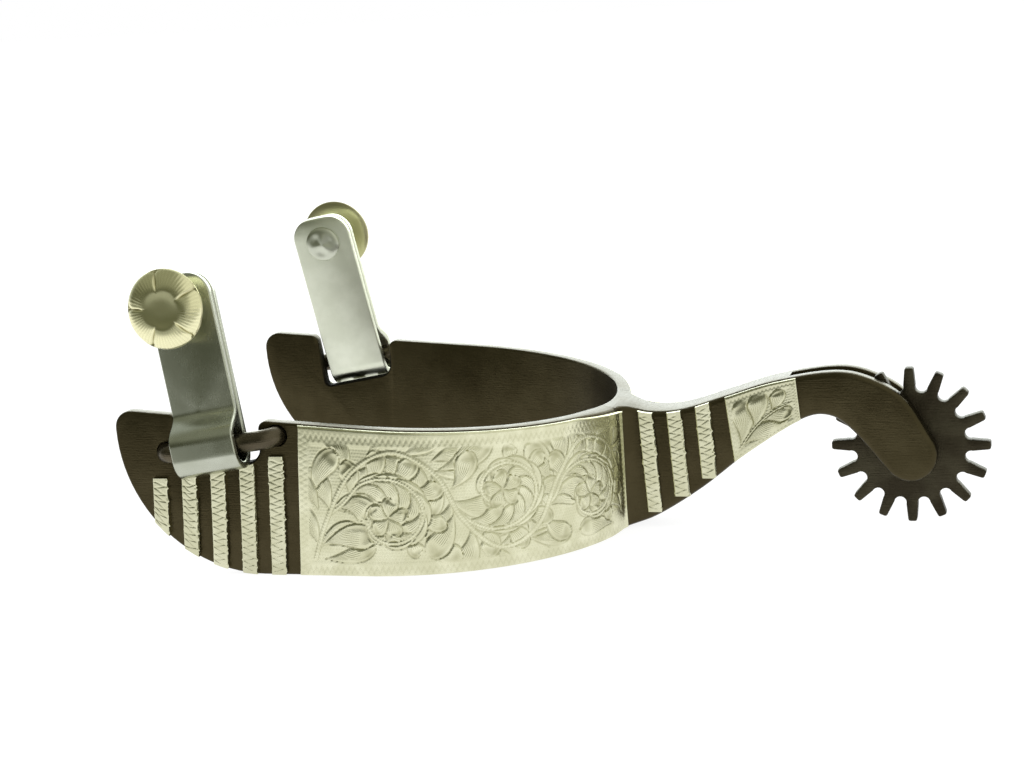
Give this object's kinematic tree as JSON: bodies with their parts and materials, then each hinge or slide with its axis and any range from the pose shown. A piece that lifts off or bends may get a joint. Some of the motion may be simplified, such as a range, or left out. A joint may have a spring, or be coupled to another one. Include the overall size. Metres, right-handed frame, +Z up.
{
  "type": "western spur",
  "caption": "Western riding spur: U-shaped heel band with engraved overlays, drop shank, spinning toothed rowel and two swinging strap hangers with flower buttons.",
  "frame": {"origin": "middle of the spur's length and width, on the plane of the band's flat lower edge", "axes": "+X from the arms' ends to the rowel, +Y to the wearer's right, +Z up from the surface that it stands on"},
  "size_m": [0.1716, 0.104, 0.064],
  "materials": {
    "browned_steel": "browned steel, satin, with worn bright edges",
    "rowel_steel": "browned steel, slightly rough",
    "nickel_silver": "engraved nickel silver overlay",
    "button_silver": "chased nickel silver",
    "satin_stainless": "satin stainless strip"
  },
  "bodies": {
    "frame": {"spur_body": "browned_steel", "rowel_pin": "browned_steel", "left_hinge_rod": "browned_steel", "left_band_plate": "nickel_silver", "left_shank_plate": "nickel_silver", "left_arm_bar_1": "nickel_silver", "left_arm_bar_2": "nickel_silver", "left_arm_bar_3": "nickel_silver", "left_arm_bar_4": "nickel_silver", "left_arm_bar_5": "nickel_silver", "left_shank_bar_1": "nickel_silver", "left_shank_bar_2": "nickel_silver", "left_shank_bar_3": "nickel_silver", "right_hinge_rod": "browned_steel", "right_band_plate": "nickel_silver", "right_shank_plate": "nickel_silver", "right_arm_bar_1": "nickel_silver", "right_arm_bar_2": "nickel_silver", "right_arm_bar_3": "nickel_silver", "right_arm_bar_4": "nickel_silver", "right_arm_bar_5": "nickel_silver", "right_shank_bar_1": "nickel_silver", "right_shank_bar_2": "nickel_silver", "right_shank_bar_3": "nickel_silver"},
    "rowel": {"rowel": "rowel_steel"},
    "left_hanger": {"left_hanger": "satin_stainless", "left_button_post": "satin_stainless", "left_button_head": "button_silver"},
    "right_hanger": {"right_hanger": "satin_stainless", "right_button_post": "satin_stainless", "right_button_head": "button_silver"}
  },
  "joints": [
    {"name": "rowel_spin", "type": "hinge", "parent": "frame", "child": "rowel", "pos_m": [0.0698, 0, 0.0167], "axis": [0, 1, 0], "continuous": true},
    {"name": "left_hanger_swing", "type": "hinge", "parent": "frame", "child": "left_hanger", "pos_m": [-0.0644, -0.0453, 0.02692], "axis": [0.9895, 0, 0.1443], "range_deg": [-70.5, 114.5]},
    {"name": "right_hanger_swing", "type": "hinge", "parent": "frame", "child": "right_hanger", "pos_m": [-0.0639, 0.0453, 0.02699], "axis": [-0.9895, 0, -0.1443], "range_deg": [-70.5, 114.5]}
  ]
}
